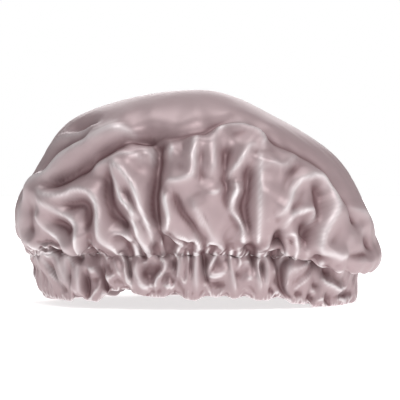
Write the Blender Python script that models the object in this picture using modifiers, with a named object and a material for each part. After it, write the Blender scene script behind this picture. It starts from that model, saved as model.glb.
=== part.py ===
"""A satin sleep bonnet: a puffed crown of folded cloth, gathered onto the elasticated band that it stands on.

The wearer's head goes in from below. +Z is up, -Y is the front and the origin is at the middle of the base.
"""

import math
from collections import namedtuple

import bmesh
import bpy
import numpy as np

# The whole bonnet, in metres. The crown's folds stand a little way out of these sizes.
CROWN_WIDTH = 0.237
CROWN_DEPTH = 0.174
HEIGHT = 0.138
CLOTH = 0.0012

# The gathered band, a casing of the same cloth round a flat elastic.
BAND_WIDTH = 0.209
BAND_DEPTH = 0.134
BAND_HEIGHT = 0.0305
BAND_THICKNESS = 0.0050
# How far the band sits to the left under the crown.
BAND_SHIFT = 0.0033
PLEATS = 46
PLEAT_DEPTH = 0.0017
HEM_NOTCH = 0.0038
# How far the band hangs clear of the surface at even steps round it, from the right by the back, the left
# and the front. It stands on its back, its back left and its front right.
BAND_LIFT = (0.0, 0.0, 0.0, 0.0, 0.0, 0.0, 0.0015, 0.0050, 0.0050, 0.0060, 0.0050, 0.0005)

# The crown sits on the band's top edge with this seam gap, and hangs lower over the band's four corners.
SEAM_GAP = 0.0004
CORNER_HANG = 0.0060
GATHERS = 34
GATHER_DEPTH = 0.0024
GATHER_REACH = 0.018

# How strongly all the folds of the table below stand out.
FOLD_STRENGTH = 1.7

# How finely each piece is divided.
CROWN_CELLS = 44
COLUMNS_PER_PLEAT = 4
FINE_RING = 720
ROUNDING_PASSES = 2

SATIN = (0.42, 0.29, 0.29, 1.0)
SATIN_ROUGHNESS = 0.32

# The crown below its widest line, from the seam out over the band's edge. Each reach is a share of the way
# from the band's middle line to the crown's full size. Each rise is a share of the height above the seam.
SkirtSection = namedtuple("SkirtSection", "left right front back rise_left rise_right rise_front rise_back")
SKIRT = (
    SkirtSection(0.00, 0.00, 0.00, 0.00, 0.000, 0.000, 0.000, 0.000),
    SkirtSection(0.38, 0.34, 0.30, 0.32, 0.045, 0.040, 0.045, 0.045),
    SkirtSection(0.66, 0.66, 0.62, 0.74, 0.040, -0.085, 0.090, 0.000),
    SkirtSection(0.84, 0.98, 0.90, 0.95, 0.180, 0.030, 0.190, 0.120),
)

# The crown from there to its top. Each reach is a share of half the crown's width or depth.
DomeSection = namedtuple("DomeSection", "left right front back rise_left rise_right rise_front rise_back")
DOME = (
    DomeSection(0.945, 0.935, 0.985, 0.980, 0.320, 0.190, 0.310, 0.260),
    DomeSection(0.895, 0.875, 0.985, 0.950, 0.460, 0.340, 0.440, 0.400),
    DomeSection(0.850, 0.840, 0.930, 0.885, 0.600, 0.470, 0.590, 0.550),
    DomeSection(0.775, 0.745, 0.845, 0.800, 0.740, 0.600, 0.720, 0.690),
    DomeSection(0.680, 0.600, 0.700, 0.670, 0.840, 0.720, 0.830, 0.810),
    DomeSection(0.500, 0.420, 0.520, 0.500, 0.925, 0.840, 0.915, 0.905),
    DomeSection(0.270, 0.210, 0.280, 0.270, 0.982, 0.955, 0.978, 0.975),
    DomeSection(0.000, 0.000, 0.000, 0.000, 1.000, 1.000, 1.000, 1.000),
)

# Folds as each side shows them. A path's points are (across, up): shares of half the width or depth of
# that side, and of the height. Rise and width are shares of the height, a valley has a negative rise,
# and drop is how far a crest hangs, as a share of its rise.
Fold = namedtuple("Fold", "side path rise width drop")
FOLDS = (
    # Front: the long line where the top panel meets the puffed front, and the roll above its left end.
    Fold("front", ((-0.82, 0.57), (-0.68, 0.64), (-0.50, 0.73), (-0.33, 0.80), (-0.11, 0.82), (0.06, 0.83)), -0.036, 0.034, 0.0),
    Fold("front", ((0.02, 0.83), (0.16, 0.86), (0.34, 0.82), (0.56, 0.71), (0.73, 0.56), (0.84, 0.40)), -0.026, 0.030, 0.0),
    Fold("front", ((-0.93, 0.50), (-0.84, 0.59), (-0.66, 0.71), (-0.50, 0.78), (-0.30, 0.82)), 0.030, 0.052, 0.5),
    Fold("front", ((-0.88, 0.59), (-0.78, 0.70), (-0.64, 0.78), (-0.52, 0.80)), -0.022, 0.036, 0.0),
    Fold("front", ((-0.84, 0.68), (-0.72, 0.77), (-0.53, 0.83)), 0.018, 0.030, 0.0),
    # Front left: ridges that run down into the gathers, with hollows between them.
    Fold("front", ((-0.85, 0.53), (-0.72, 0.51), (-0.62, 0.53), (-0.55, 0.45), (-0.54, 0.33), (-0.44, 0.26), (-0.38, 0.21)), 0.030, 0.030, 0.0),
    Fold("front", ((-0.87, 0.46), (-0.75, 0.41), (-0.69, 0.33), (-0.64, 0.23), (-0.60, 0.17)), 0.034, 0.028, 0.0),
    Fold("front", ((-0.94, 0.38), (-0.93, 0.29), (-0.83, 0.24), (-0.77, 0.17)), 0.024, 0.030, 0.0),
    Fold("front", ((-0.52, 0.62), (-0.51, 0.50), (-0.45, 0.38), (-0.36, 0.29)), -0.034, 0.044, 0.0),
    Fold("front", ((-0.90, 0.28), (-0.76, 0.25), (-0.65, 0.20)), -0.028, 0.034, 0.0),
    Fold("front", ((-0.47, 0.67), (-0.45, 0.53), (-0.38, 0.41), (-0.28, 0.27)), 0.026, 0.028, 0.0),
    Fold("front", ((-0.47, 0.67), (-0.35, 0.56), (-0.31, 0.42), (-0.25, 0.30)), 0.026, 0.028, 0.0),
    # Front middle: a deep upright valley, the broad puff beside it and the tall lobe.
    Fold("front", ((-0.25, 0.78), (-0.25, 0.60), (-0.25, 0.44), (-0.21, 0.32), (-0.13, 0.26)), -0.044, 0.036, 0.0),
    Fold("front", ((-0.21, 0.54), (-0.19, 0.43), (-0.20, 0.33), (-0.12, 0.29)), 0.030, 0.030, 0.0),
    Fold("front", ((-0.15, 0.55), (-0.11, 0.42), (-0.02, 0.32), (0.01, 0.25)), -0.032, 0.028, 0.0),
    Fold("front", ((-0.17, 0.73), (-0.17, 0.62)), 0.024, 0.040, 0.0),
    Fold("front", ((0.03, 0.78), (0.03, 0.66), (0.06, 0.53)), 0.020, 0.040, 0.0),
    Fold("front", ((0.14, 0.78), (0.13, 0.61), (0.15, 0.47), (0.23, 0.32)), -0.034, 0.036, 0.0),
    Fold("front", ((0.10, 0.80), (0.18, 0.85), (0.28, 0.83), (0.33, 0.76), (0.32, 0.55), (0.32, 0.30)), 0.026, 0.028, 0.0),
    Fold("front", ((0.25, 0.70), (0.17, 0.58), (0.18, 0.46), (0.24, 0.30)), 0.026, 0.028, 0.0),
    # Front right: two arched folds, one inside the other, and the pocket at the right-hand end.
    Fold("front", ((0.42, 0.42), (0.49, 0.53), (0.60, 0.59), (0.71, 0.55), (0.72, 0.46), (0.65, 0.34), (0.66, 0.25), (0.79, 0.22)), 0.034, 0.028, 0.0),
    Fold("front", ((0.67, 0.55), (0.66, 0.42), (0.61, 0.28)), -0.034, 0.036, 0.0),
    Fold("front", ((0.43, 0.26), (0.45, 0.37), (0.54, 0.43), (0.60, 0.43)), 0.026, 0.026, 0.0),
    Fold("front", ((0.43, 0.40), (0.42, 0.30), (0.43, 0.20)), -0.030, 0.022, 0.0),
    Fold("front", ((0.87, 0.33), (0.93, 0.28), (0.96, 0.23)), -0.034, 0.030, 0.0),
    # Right-hand side.
    Fold("right", ((-0.80, 0.40), (-0.45, 0.62), (0.00, 0.66), (0.45, 0.58), (0.80, 0.42)), -0.008, 0.034, 0.0),
    Fold("right", ((-0.70, 0.46), (-0.30, 0.69), (0.20, 0.72), (0.60, 0.60)), 0.008, 0.048, 0.3),
    Fold("right", ((-0.42, 0.20), (-0.36, 0.38), (-0.10, 0.48), (0.14, 0.36), (0.18, 0.20)), 0.030, 0.032, 0.0),
    Fold("right", ((-0.14, 0.20), (-0.10, 0.36)), -0.016, 0.034, 0.0),
    Fold("right", ((0.46, 0.20), (0.42, 0.36), (0.56, 0.50)), 0.026, 0.030, 0.0),
    # Left-hand side.
    Fold("left", ((-0.80, 0.50), (-0.40, 0.66), (0.05, 0.72), (0.50, 0.66), (0.84, 0.56)), -0.007, 0.034, 0.0),
    Fold("left", ((-0.60, 0.66), (-0.10, 0.79), (0.40, 0.74), (0.70, 0.64)), 0.008, 0.046, 0.3),
    Fold("left", ((-0.50, 0.22), (-0.44, 0.42), (-0.20, 0.56)), 0.030, 0.032, 0.0),
    Fold("left", ((-0.18, 0.24), (-0.14, 0.42), (0.02, 0.54)), -0.016, 0.036, 0.0),
    Fold("left", ((0.16, 0.22), (0.12, 0.40), (0.32, 0.52), (0.50, 0.46)), 0.028, 0.030, 0.0),
    # Back: a lower, calmer line, and lobes that fall from it to the gathers.
    Fold("back", ((-0.86, 0.50), (-0.55, 0.66), (-0.20, 0.72), (0.15, 0.68), (0.50, 0.62), (0.86, 0.44)), -0.030, 0.036, 0.0),
    Fold("back", ((-0.80, 0.62), (-0.45, 0.77), (-0.05, 0.80), (0.35, 0.74), (0.70, 0.62)), 0.022, 0.052, 0.3),
    Fold("back", ((-0.72, 0.20), (-0.70, 0.36), (-0.58, 0.50)), 0.030, 0.030, 0.0),
    Fold("back", ((-0.52, 0.20), (-0.46, 0.40), (-0.40, 0.54)), -0.032, 0.034, 0.0),
    Fold("back", ((-0.34, 0.20), (-0.33, 0.42), (-0.18, 0.58), (-0.04, 0.48), (-0.06, 0.30), (-0.10, 0.20)), 0.030, 0.030, 0.0),
    Fold("back", ((-0.20, 0.20), (-0.18, 0.42)), -0.026, 0.034, 0.0),
    Fold("back", ((0.12, 0.20), (0.08, 0.40), (0.16, 0.56)), -0.034, 0.036, 0.0),
    Fold("back", ((0.28, 0.20), (0.24, 0.42), (0.36, 0.54), (0.52, 0.48), (0.54, 0.34), (0.48, 0.20)), 0.030, 0.030, 0.0),
    Fold("back", ((0.72, 0.20), (0.70, 0.34), (0.78, 0.44)), 0.028, 0.032, 0.0),
)

# How each side is looked at: the way it faces, and the way that runs across it to the viewer's right.
Side = namedtuple("Side", "facing across half_width")
SIDES = {
    "front": Side((0.0, -1.0), (1.0, 0.0), CROWN_WIDTH / 2),
    "back": Side((0.0, 1.0), (-1.0, 0.0), CROWN_WIDTH / 2),
    "right": Side((1.0, 0.0), (0.0, 1.0), CROWN_DEPTH / 2),
    "left": Side((-1.0, 0.0), (0.0, -1.0), CROWN_DEPTH / 2),
}
SIDE_FADE = 0.30
FOLD_STEPS = 8
END_TAPER = 0.12
SEAM_HOLD = 0.22

# The band's cross-section, as shares of its thickness outwards and of its height up.
BandPoint = namedtuple("BandPoint", "out up pleat")
BAND_SECTION = (
    BandPoint(0.50, 0.55, 1.0),
    BandPoint(0.40, 0.84, 0.8),
    BandPoint(0.14, 1.00, 0.2),
    BandPoint(-0.30, 1.00, 0.1),
    BandPoint(-0.50, 0.70, 0.3),
    BandPoint(-0.42, 0.12, 0.4),
    BandPoint(-0.16, 0.00, 0.4),
    BandPoint(0.30, 0.00, 0.8),
    BandPoint(0.58, 0.20, 1.2),
)


def clear_scene():
    for obj in list(bpy.data.objects):
        bpy.data.objects.remove(obj, do_unlink=True)


def satin_material(name):
    material = bpy.data.materials.new(name)
    material.use_nodes = True
    shader = material.node_tree.nodes["Principled BSDF"]
    shader.inputs["Base Color"].default_value = SATIN
    shader.inputs["Roughness"].default_value = SATIN_ROUGHNESS
    shader.inputs["Metallic"].default_value = 0.0
    return material


def smooth_step(low, high, value):
    share = np.clip((np.asarray(value) - low) / (high - low), 0.0, 1.0)
    return share * share * (3.0 - 2.0 * share)


def spline(rows, places):
    """A Catmull-Rom curve through evenly spaced rows, read at places from 0 to the last row."""
    rows = np.asarray(rows, float)
    places = np.clip(places, 0.0, len(rows) - 1 - 1e-9)
    first = np.floor(places).astype(int)
    share = (places - first)[:, None]
    before = rows[np.maximum(first - 1, 0)]
    start, end = rows[first], rows[first + 1]
    after = rows[np.minimum(first + 2, len(rows) - 1)]
    return 0.5 * (
        2.0 * start
        + (end - before) * share
        + (2.0 * before - 5.0 * start + 4.0 * end - after) * share**2
        + (3.0 * start - before - 3.0 * end + after) * share**3
    )


def ring_angle(share):
    """The angle on the band's oval at a share of the way round its length, so that columns are even."""
    fine = np.linspace(0.0, 2.0 * math.pi, FINE_RING + 1)
    oval = np.stack([BAND_WIDTH / 2 * np.cos(fine), BAND_DEPTH / 2 * np.sin(fine)], axis=1)
    walked = np.concatenate([[0.0], np.cumsum(np.linalg.norm(np.diff(oval, axis=0), axis=1))])
    return np.interp(np.mod(share, 1.0), walked / walked[-1], fine)


def pleat_wave(share, count, turn):
    """An uneven wave round the bonnet, from -1 in a valley to 1 on a ridge: its spacing and strength wander."""
    around = 2.0 * math.pi * share
    wander = 1.5 * np.sin(3 * around + turn) + 1.1 * np.sin(7 * around + 2.1 * turn)
    strength = 0.78 + 0.22 * np.sin(5 * around + 0.7 * turn)
    return strength * np.sin(count * around + wander)


def seam_reach(half_size):
    """How far the band's middle line lies from the axis, where the crown is sewn on."""
    return half_size - BAND_THICKNESS / 2


def band_lift(share):
    """How far the band hangs clear of the surface at a share of the way round."""
    steps = len(BAND_LIFT)
    rows = np.array(BAND_LIFT[-2:] + BAND_LIFT + BAND_LIFT[:2])[:, None]
    return np.maximum(spline(rows, 2.0 + np.mod(share, 1.0) * steps)[:, 0], 0.0)


def section_rows():
    """Every section of the crown: four reaches in metres, then four shares of the height above the seam."""
    half = np.array([CROWN_WIDTH / 2, CROWN_WIDTH / 2, CROWN_DEPTH / 2, CROWN_DEPTH / 2])
    seam = np.array([seam_reach(BAND_WIDTH / 2)] * 2 + [seam_reach(BAND_DEPTH / 2)] * 2)
    seam[:2] += (BAND_SHIFT, -BAND_SHIFT)
    skirt, dome = np.array(SKIRT), np.array(DOME)
    reach = np.concatenate([seam + (half - seam) * skirt[:, :4], half * dome[:, :4]])
    return np.concatenate([reach, np.concatenate([skirt[:, 4:], dome[:, 4:]])], axis=1)


def crown_points(share, climb):
    """The unfolded crown at shares of the way round and of the way up from the seam, 0, to the top, 1."""
    rows = section_rows()
    # Past the top the reaches turn negative, which makes the crown round there.
    past = rows[-2] * np.array([-1.0] * 4 + [1.0] * 4)
    found = spline(np.vstack([rows, past]), climb * (len(rows) - 1))
    angle = ring_angle(share)
    cos, sin = np.cos(angle), np.sin(angle)
    x_reach = np.where(cos < 0, found[:, 0], found[:, 1])
    y_reach = np.where(sin < 0, found[:, 2], found[:, 3])
    x_rise = np.where(cos < 0, found[:, 4], found[:, 5])
    y_rise = np.where(sin < 0, found[:, 6], found[:, 7])
    seam = BAND_HEIGHT + band_lift(share) + SEAM_GAP
    low = smooth_step(0.04, 0.22, climb) * smooth_step(0.52, 0.24, climb)
    hang = CORNER_HANG * low * np.sin(2 * angle) ** 2
    height = seam + (HEIGHT - seam) * (x_rise * cos**2 + y_rise * sin**2) - hang
    return np.stack([x_reach * cos, y_reach * sin, height], axis=1)


def fold_relief(flat, path, width):
    """A crest of height 1 along a smooth path, with hollow flanks that die away over the width."""
    line = spline(path, np.linspace(0.0, len(path) - 1, FOLD_STEPS * (len(path) - 1) + 1))
    start, step = line[:-1], np.diff(line, axis=0)
    long = np.maximum((step**2).sum(axis=1), 1e-12)
    offset = flat[:, None, :] - start[None]
    along = np.clip((offset * step).sum(axis=2) / long, 0.0, 1.0)
    gap = np.linalg.norm(offset - along[..., None] * step, axis=2)
    nearest = gap.argmin(axis=1)
    every = np.arange(len(flat))
    away = gap[every, nearest]
    place = (nearest + along[every, nearest]) / len(step)
    taper = smooth_step(0.0, END_TAPER, np.minimum(place, 1.0 - place) + END_TAPER / 3)
    crest = 0.5 * width
    return taper * np.exp(-(np.sqrt(away**2 + crest**2) - crest) / width)


def fold_shift(points, normals, climb):
    """How the folds move the crown's points: out of or into the surface, and down where a crest hangs."""
    shift = np.zeros_like(points)
    free = smooth_step(0.05, SEAM_HOLD, climb)
    for name, side in SIDES.items():
        facing = normals[:, :2] @ np.array(side.facing)
        shown = smooth_step(-0.05, SIDE_FADE, facing)
        flat = np.stack([points[:, :2] @ np.array(side.across), points[:, 2]], axis=1)
        for fold in (row for row in FOLDS if row.side == name):
            path = np.array(fold.path) * (side.half_width, HEIGHT)
            height = FOLD_STRENGTH * free * shown * fold.rise * HEIGHT * fold_relief(flat, path, fold.width * HEIGHT)
            shift += height[:, None] * normals
            shift[:, 2] -= fold.drop * height
    return shift


def gather_height(points, share, climb):
    """The fine gathers above the seam: they swell just over it and fade on the way up."""
    rise = np.maximum(points[:, 2] - BAND_HEIGHT - band_lift(share), 0.0)
    swell = smooth_step(0.0, 0.16, climb) * np.exp(-rise / GATHER_REACH)
    return GATHER_DEPTH * swell * pleat_wave(share, GATHERS, 0.6)


def vertex_normals(mesh):
    normals = np.empty(len(mesh.vertices) * 3)
    mesh.vertices.foreach_get("normal", normals)
    return normals.reshape(-1, 3)


def rounded(shift, mesh, hold):
    """The shifts evened out with those of their neighbours, as the cloth's stiffness rounds a sharp crease."""
    ends = np.empty(len(mesh.edges) * 2, int)
    mesh.edges.foreach_get("vertices", ends)
    one, other = ends.reshape(-1, 2).T
    count = np.bincount(one, minlength=len(shift)) + np.bincount(other, minlength=len(shift))
    for _ in range(ROUNDING_PASSES):
        total = np.zeros_like(shift)
        np.add.at(total, one, shift[other])
        np.add.at(total, other, shift[one])
        shift = np.where(hold[:, None], shift, 0.5 * shift + 0.5 * total / count[:, None])
    return shift


def new_object(name, mesh, material, home):
    obj = bpy.data.objects.new(name, mesh)
    mesh.materials.append(material)
    mesh.shade_smooth()
    home.objects.link(obj)
    return obj


def make_crown(home):
    """The crown is a square grid of cells, like a flat round cut of cloth, drawn up into the bonnet's shape."""
    flat = bmesh.new()
    bmesh.ops.create_grid(flat, x_segments=CROWN_CELLS, y_segments=CROWN_CELLS, size=1.0)
    # The cells on the square's diagonals are cut towards its middle, since a loop runs straight past their corner.
    for face in list(flat.faces):
        middle = face.calc_center_median()
        if abs(abs(middle.x) - abs(middle.y)) < 0.5 / CROWN_CELLS:
            corners = sorted(face.verts, key=lambda corner: corner.co.length)
            bmesh.utils.face_split(face, corners[0], corners[-1])
    mesh = bpy.data.meshes.new("crown")
    flat.to_mesh(mesh)
    flat.free()
    square = np.empty(len(mesh.vertices) * 3)
    mesh.vertices.foreach_get("co", square)
    a, b = square.reshape(-1, 3)[:, :2].T
    # Each square ring of the grid becomes one loop round the crown.
    ring = np.maximum(np.abs(a), np.abs(b))
    safe = np.maximum(ring, 1e-9)
    quarter = np.where(np.abs(a) >= np.abs(b), b / safe, 0.0)
    share = np.where(a >= np.abs(b), quarter / 8, 0.0)
    share = np.where(-a >= np.abs(b), 0.5 - quarter / 8, share)
    share = np.where(b > np.abs(a), 0.25 - a / safe / 8, share)
    share = np.where(-b > np.abs(a), 0.75 + a / safe / 8, share)
    climb = 1.0 - ring
    mesh.vertices.foreach_set("co", crown_points(share, climb).ravel())
    mesh.update()
    points = crown_points(share, climb)
    normals = vertex_normals(mesh)
    gathers = gather_height(points, share, climb)
    points += rounded(fold_shift(points, normals, climb), mesh, climb < 1e-6)
    points += gathers[:, None] * normals
    mesh.vertices.foreach_set("co", points.ravel())
    mesh.update()
    crown = new_object("crown", mesh, satin_material("crown_satin"), home)
    wall = crown.modifiers.new("wall", "SOLIDIFY")
    wall.thickness = CLOTH
    wall.offset = -1.0
    return crown


def make_band(home):
    """The band is a ring whose section is the flattened casing, pleated all round and notched along its hem."""
    columns = PLEATS * COLUMNS_PER_PLEAT
    bpy.ops.mesh.primitive_torus_add(major_segments=columns, minor_segments=len(BAND_SECTION))
    torus = bpy.context.object
    mesh = torus.data.copy()
    bpy.data.objects.remove(torus, do_unlink=True)
    order = np.arange(len(mesh.vertices))
    share = (order // len(BAND_SECTION)) / columns
    out, up, pleat = np.array(BAND_SECTION)[order % len(BAND_SECTION)].T
    angle = ring_angle(share)
    wave = pleat_wave(share, PLEATS, 0.0)
    reach = out * BAND_THICKNESS + pleat * PLEAT_DEPTH * wave - BAND_THICKNESS / 2
    # The hem is notched between the pleats and flat under their ridges.
    hem = HEM_NOTCH * smooth_step(-0.1, 0.9, -wave)
    height = band_lift(share) + hem + up * (BAND_HEIGHT - hem)
    x_out = (BAND_WIDTH / 2 + reach) * np.cos(angle) - BAND_SHIFT
    y_out = (BAND_DEPTH / 2 + reach) * np.sin(angle)
    mesh.vertices.foreach_set("co", np.stack([x_out, y_out, height], axis=1).ravel())
    mesh.update()
    return new_object("band", mesh, satin_material("band_satin"), home)


def main():
    clear_scene()
    home = bpy.data.collections.new("sleep_bonnet")
    bpy.context.scene.collection.children.link(home)
    make_crown(home)
    make_band(home)


main()
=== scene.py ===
import math
from collections import namedtuple

import bpy
import numpy as np
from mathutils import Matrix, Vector


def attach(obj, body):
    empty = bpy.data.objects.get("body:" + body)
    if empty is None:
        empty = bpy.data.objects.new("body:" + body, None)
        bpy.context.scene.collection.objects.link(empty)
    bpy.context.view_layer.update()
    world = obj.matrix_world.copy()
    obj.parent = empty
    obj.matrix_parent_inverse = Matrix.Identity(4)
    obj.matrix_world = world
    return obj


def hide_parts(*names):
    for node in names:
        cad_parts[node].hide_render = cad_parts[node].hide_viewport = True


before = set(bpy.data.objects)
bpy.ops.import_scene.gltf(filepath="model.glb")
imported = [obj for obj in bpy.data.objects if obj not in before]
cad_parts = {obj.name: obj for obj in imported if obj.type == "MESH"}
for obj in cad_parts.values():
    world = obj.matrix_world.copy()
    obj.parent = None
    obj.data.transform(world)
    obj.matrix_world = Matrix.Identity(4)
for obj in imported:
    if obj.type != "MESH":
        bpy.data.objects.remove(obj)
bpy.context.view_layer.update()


# %% [markdown]
# A sleep bonnet is a round cut of satin whose edge is gathered into a narrow casing with an elastic inside.
# The elastic pulls the edge in to about a third of its length, so the spare cloth stands up in folds.
# Everything here is in metres, in the same frame as the solid model: +Z up, the front towards -Y.

# %% Sizes
MM = 0.001
CROWN_WIDTH = 237 * MM
CROWN_DEPTH = 174 * MM
HEIGHT = 138 * MM
BAND_WIDTH = 209 * MM
BAND_DEPTH = 134 * MM
BAND_HEIGHT = 30.5 * MM
BAND_THICKNESS = 5.0 * MM
BAND_SHIFT = 3.3 * MM
SEAM_GAP = -1.0 * MM
SEAM_INSET = 0.1 * MM
CORNER_HANG = 6.0 * MM
CUT_CIRCLE = 0.38
CLOTH = 0.6 * MM
print(f"crown {CROWN_WIDTH:.3f} x {CROWN_DEPTH:.3f} x {HEIGHT:.3f} m")

# %% [markdown]
# Two helpers do most of the drawing. A smooth step fades one thing into another, and a Catmull-Rom spline
# turns a few given rows into a smooth curve. Both work on whole arrays, so a shape with a hundred
# thousand points takes no Python loop.

# %% Helpers
def smooth_step(low, high, value):
    """0 below low, 1 above high, and between them 3 s^2 - 2 s^3 of the share s of the way."""
    share = np.clip((np.asarray(value) - low) / (high - low), 0.0, 1.0)
    return share * share * (3.0 - 2.0 * share)


def spline(rows, places):
    """The Catmull-Rom curve through evenly spaced rows, read at places from 0 to the last row."""
    rows = np.asarray(rows, float)
    places = np.clip(np.asarray(places, float), 0.0, len(rows) - 1 - 1e-9)
    first = np.floor(places).astype(int)
    share = (places - first).reshape(places.shape + (1,) * (rows.ndim - 1))
    before = rows[np.maximum(first - 1, 0)]
    start, end = rows[first], rows[first + 1]
    after = rows[np.minimum(first + 2, len(rows) - 1)]
    return 0.5 * (
        2.0 * start
        + (end - before) * share
        + (2.0 * before - 5.0 * start + 4.0 * end - after) * share**2
        + (3.0 * start - before - 3.0 * end + after) * share**3
    )


print("spline check", spline([[0.0], [1.0], [4.0]], np.array([0.5, 1.5]))[:, 0])

# %% [markdown]
# The camera comes before the folds, because the folds were drawn as a camera in front of the bonnet sees
# them. It stands well back with a long lens, a few degrees above the surface, so the band looks nearly flat.

# %% Camera
CAMERA_DISTANCE = 2.6
CAMERA_RISE = math.radians(3.0)
AIM = Vector((0.0, 0.0, 69 * MM))
PICTURE_WIDTH = 400
METRES_PER_PIXEL = 0.649 * MM
LENS = 85.0
SENSOR = 36.0

camera_data = bpy.data.cameras.new("camera")
camera = bpy.data.objects.new("camera", camera_data)
bpy.context.scene.collection.objects.link(camera)
view_from = Vector((0.0, -math.cos(CAMERA_RISE), math.sin(CAMERA_RISE)))
camera.location = AIM + CAMERA_DISTANCE * view_from
camera.rotation_euler = (-view_from).to_track_quat("-Z", "Y").to_euler()
camera_data.sensor_width = SENSOR
camera_data.lens = SENSOR * CAMERA_DISTANCE / (PICTURE_WIDTH * METRES_PER_PIXEL)
camera_data.shift_y = (303 - 69 / 0.649 - 200) / PICTURE_WIDTH
camera_data.clip_end = 20.0
bpy.context.scene.camera = camera
print(f"camera lens {camera_data.lens:.0f} mm, shift {camera_data.shift_y:.4f}")

# %% [markdown]
# The crown and the band share one oval. Its columns are spaced by the length walked round it, as gathers
# are, and not by the angle. The band doesn't stand evenly: it hangs clear of the surface along the front.

# %% The oval that the crown and the band share
BAND_LIFT = (0.0, 0.0, 0.0, 0.0, 0.0, 0.0, 0.0015, 0.0050, 0.0050, 0.0060, 0.0050, 0.0005)
FINE_RING = 1440
PLEATS = 46
SEAM_WAVE = 1.6 * MM


def ring_angle(share):
    """The oval's angle at a share of its length, from a table of the length walked at each angle."""
    fine = np.linspace(0.0, 2.0 * math.pi, FINE_RING + 1)
    oval = np.stack([BAND_WIDTH / 2 * np.cos(fine), BAND_DEPTH / 2 * np.sin(fine)], axis=1)
    walked = np.concatenate([[0.0], np.cumsum(np.linalg.norm(np.diff(oval, axis=0), axis=1))])
    return np.interp(np.mod(share, 1.0), walked / walked[-1], fine)


def band_lift(share):
    """How far the band hangs clear of the surface: a spline through evenly spaced heights round the oval."""
    rows = np.array(BAND_LIFT[-2:] + BAND_LIFT + BAND_LIFT[:2])[:, None]
    return np.maximum(spline(rows, 2.0 + np.mod(share, 1.0) * len(BAND_LIFT))[..., 0], 0.0)


def pleat_wave(share, count, turn):
    """An uneven wave round the band, from -1 in a valley to 1 on a ridge: its spacing and strength wander."""
    around = 2.0 * math.pi * share
    wander = 1.5 * np.sin(3 * around + turn) + 1.1 * np.sin(7 * around + 2.1 * turn)
    strength = 0.78 + 0.22 * np.sin(5 * around + 0.7 * turn)
    return strength * np.sin(count * around + wander)


def seam_height(share):
    """The height of the seam between band and crown. Each pleat pulls it up or down a little."""
    waves = 0.6 * pleat_wave(share, PLEATS, 0.0) + 0.4 * pleat_wave(share, 11, 2.0)
    return BAND_HEIGHT + band_lift(share) + SEAM_WAVE * waves


print("seam heights", seam_height(np.linspace(0.5, 1.0, 5)).round(4))

# %% [markdown]
# The crown before it folds is a smooth puffed cap. It could be a sphere pushed about by hand, but then its
# outline would be hard to match. Here it is a stack of ovals instead: each row says how far the cloth reaches
# to the left, right, front and back, and how high it is there. The first rows go from the seam out over the
# band, and the others up to the top.

# %% The crown's sections
Section = namedtuple("Section", "left right front back rise_left rise_right rise_front rise_back")
SKIRT = (
    Section(0.00, 0.00, 0.00, 0.00, 0.000, 0.000, 0.000, 0.000),
    Section(0.28, 0.24, 0.14, 0.18, 0.040, 0.005, 0.050, 0.045),
    Section(0.64, 0.62, 0.40, 0.52, 0.075, -0.080, 0.110, 0.085),
    Section(0.92, 0.98, 0.80, 0.88, 0.185, 0.010, 0.200, 0.160),
)
DOME = (
    Section(0.985, 0.945, 0.985, 0.980, 0.320, 0.190, 0.310, 0.260),
    Section(0.925, 0.900, 0.985, 0.950, 0.460, 0.340, 0.440, 0.400),
    Section(0.850, 0.840, 0.930, 0.885, 0.600, 0.470, 0.590, 0.550),
    Section(0.775, 0.745, 0.845, 0.800, 0.740, 0.600, 0.720, 0.690),
    Section(0.680, 0.600, 0.700, 0.670, 0.840, 0.720, 0.830, 0.810),
    Section(0.500, 0.420, 0.520, 0.500, 0.925, 0.840, 0.915, 0.905),
    Section(0.270, 0.210, 0.280, 0.270, 0.982, 0.955, 0.978, 0.975),
    Section(0.000, 0.000, 0.000, 0.000, 1.000, 1.000, 1.000, 1.000),
)


def section_rows():
    """Every section: four reaches in metres, then four shares of the height above the seam."""
    half = np.array([CROWN_WIDTH, CROWN_WIDTH, CROWN_DEPTH, CROWN_DEPTH]) / 2
    seam = np.array([BAND_WIDTH, BAND_WIDTH, BAND_DEPTH, BAND_DEPTH]) / 2 - SEAM_INSET
    seam[:2] += (BAND_SHIFT, -BAND_SHIFT)
    skirt, dome = np.array(SKIRT), np.array(DOME)
    reach = np.concatenate([seam + (half - seam) * skirt[:, :4], half * dome[:, :4]])
    return np.concatenate([reach, np.concatenate([skirt[:, 4:], dome[:, 4:]])], axis=1)


def smooth_crown(share, climb):
    """The unfolded crown: a quarter ellipse from each side to the next, at the section's reach and height.

    share goes once round, and climb goes from 0 at the seam to 1 at the top.
    """
    rows = section_rows()
    past = rows[-2] * np.array([-1.0] * 4 + [1.0] * 4)
    found = spline(np.vstack([rows, past]), climb * (len(rows) - 1))
    angle = ring_angle(share)
    cos, sin = np.cos(angle), np.sin(angle)
    x_reach = np.where(cos < 0, found[..., 0], found[..., 1])
    y_reach = np.where(sin < 0, found[..., 2], found[..., 3])
    x_rise = np.where(cos < 0, found[..., 4], found[..., 5])
    y_rise = np.where(sin < 0, found[..., 6], found[..., 7])
    seam = seam_height(share) + SEAM_GAP
    low = smooth_step(0.04, 0.22, climb) * smooth_step(0.52, 0.24, climb)
    hang = CORNER_HANG * low * np.sin(2 * angle) ** 2
    height = seam + (HEIGHT - seam) * (x_rise * cos**2 + y_rise * sin**2) - hang
    return np.stack([x_reach * cos, y_reach * sin, height], axis=-1)


# %% [markdown]
# The crown is a disc of cloth, but its grid of points is square, like the weave of a flat piece. Each point of
# the square is pulled in to the disc, so the cells stay nearly even, and nothing bunches up at the top as it
# would on a globe of longitudes. The lines lie closer together at the front, where the small folds are.

# %% The crown's grid
CROWN_CELLS = 216
FRONT_SHARE = 0.18


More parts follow.
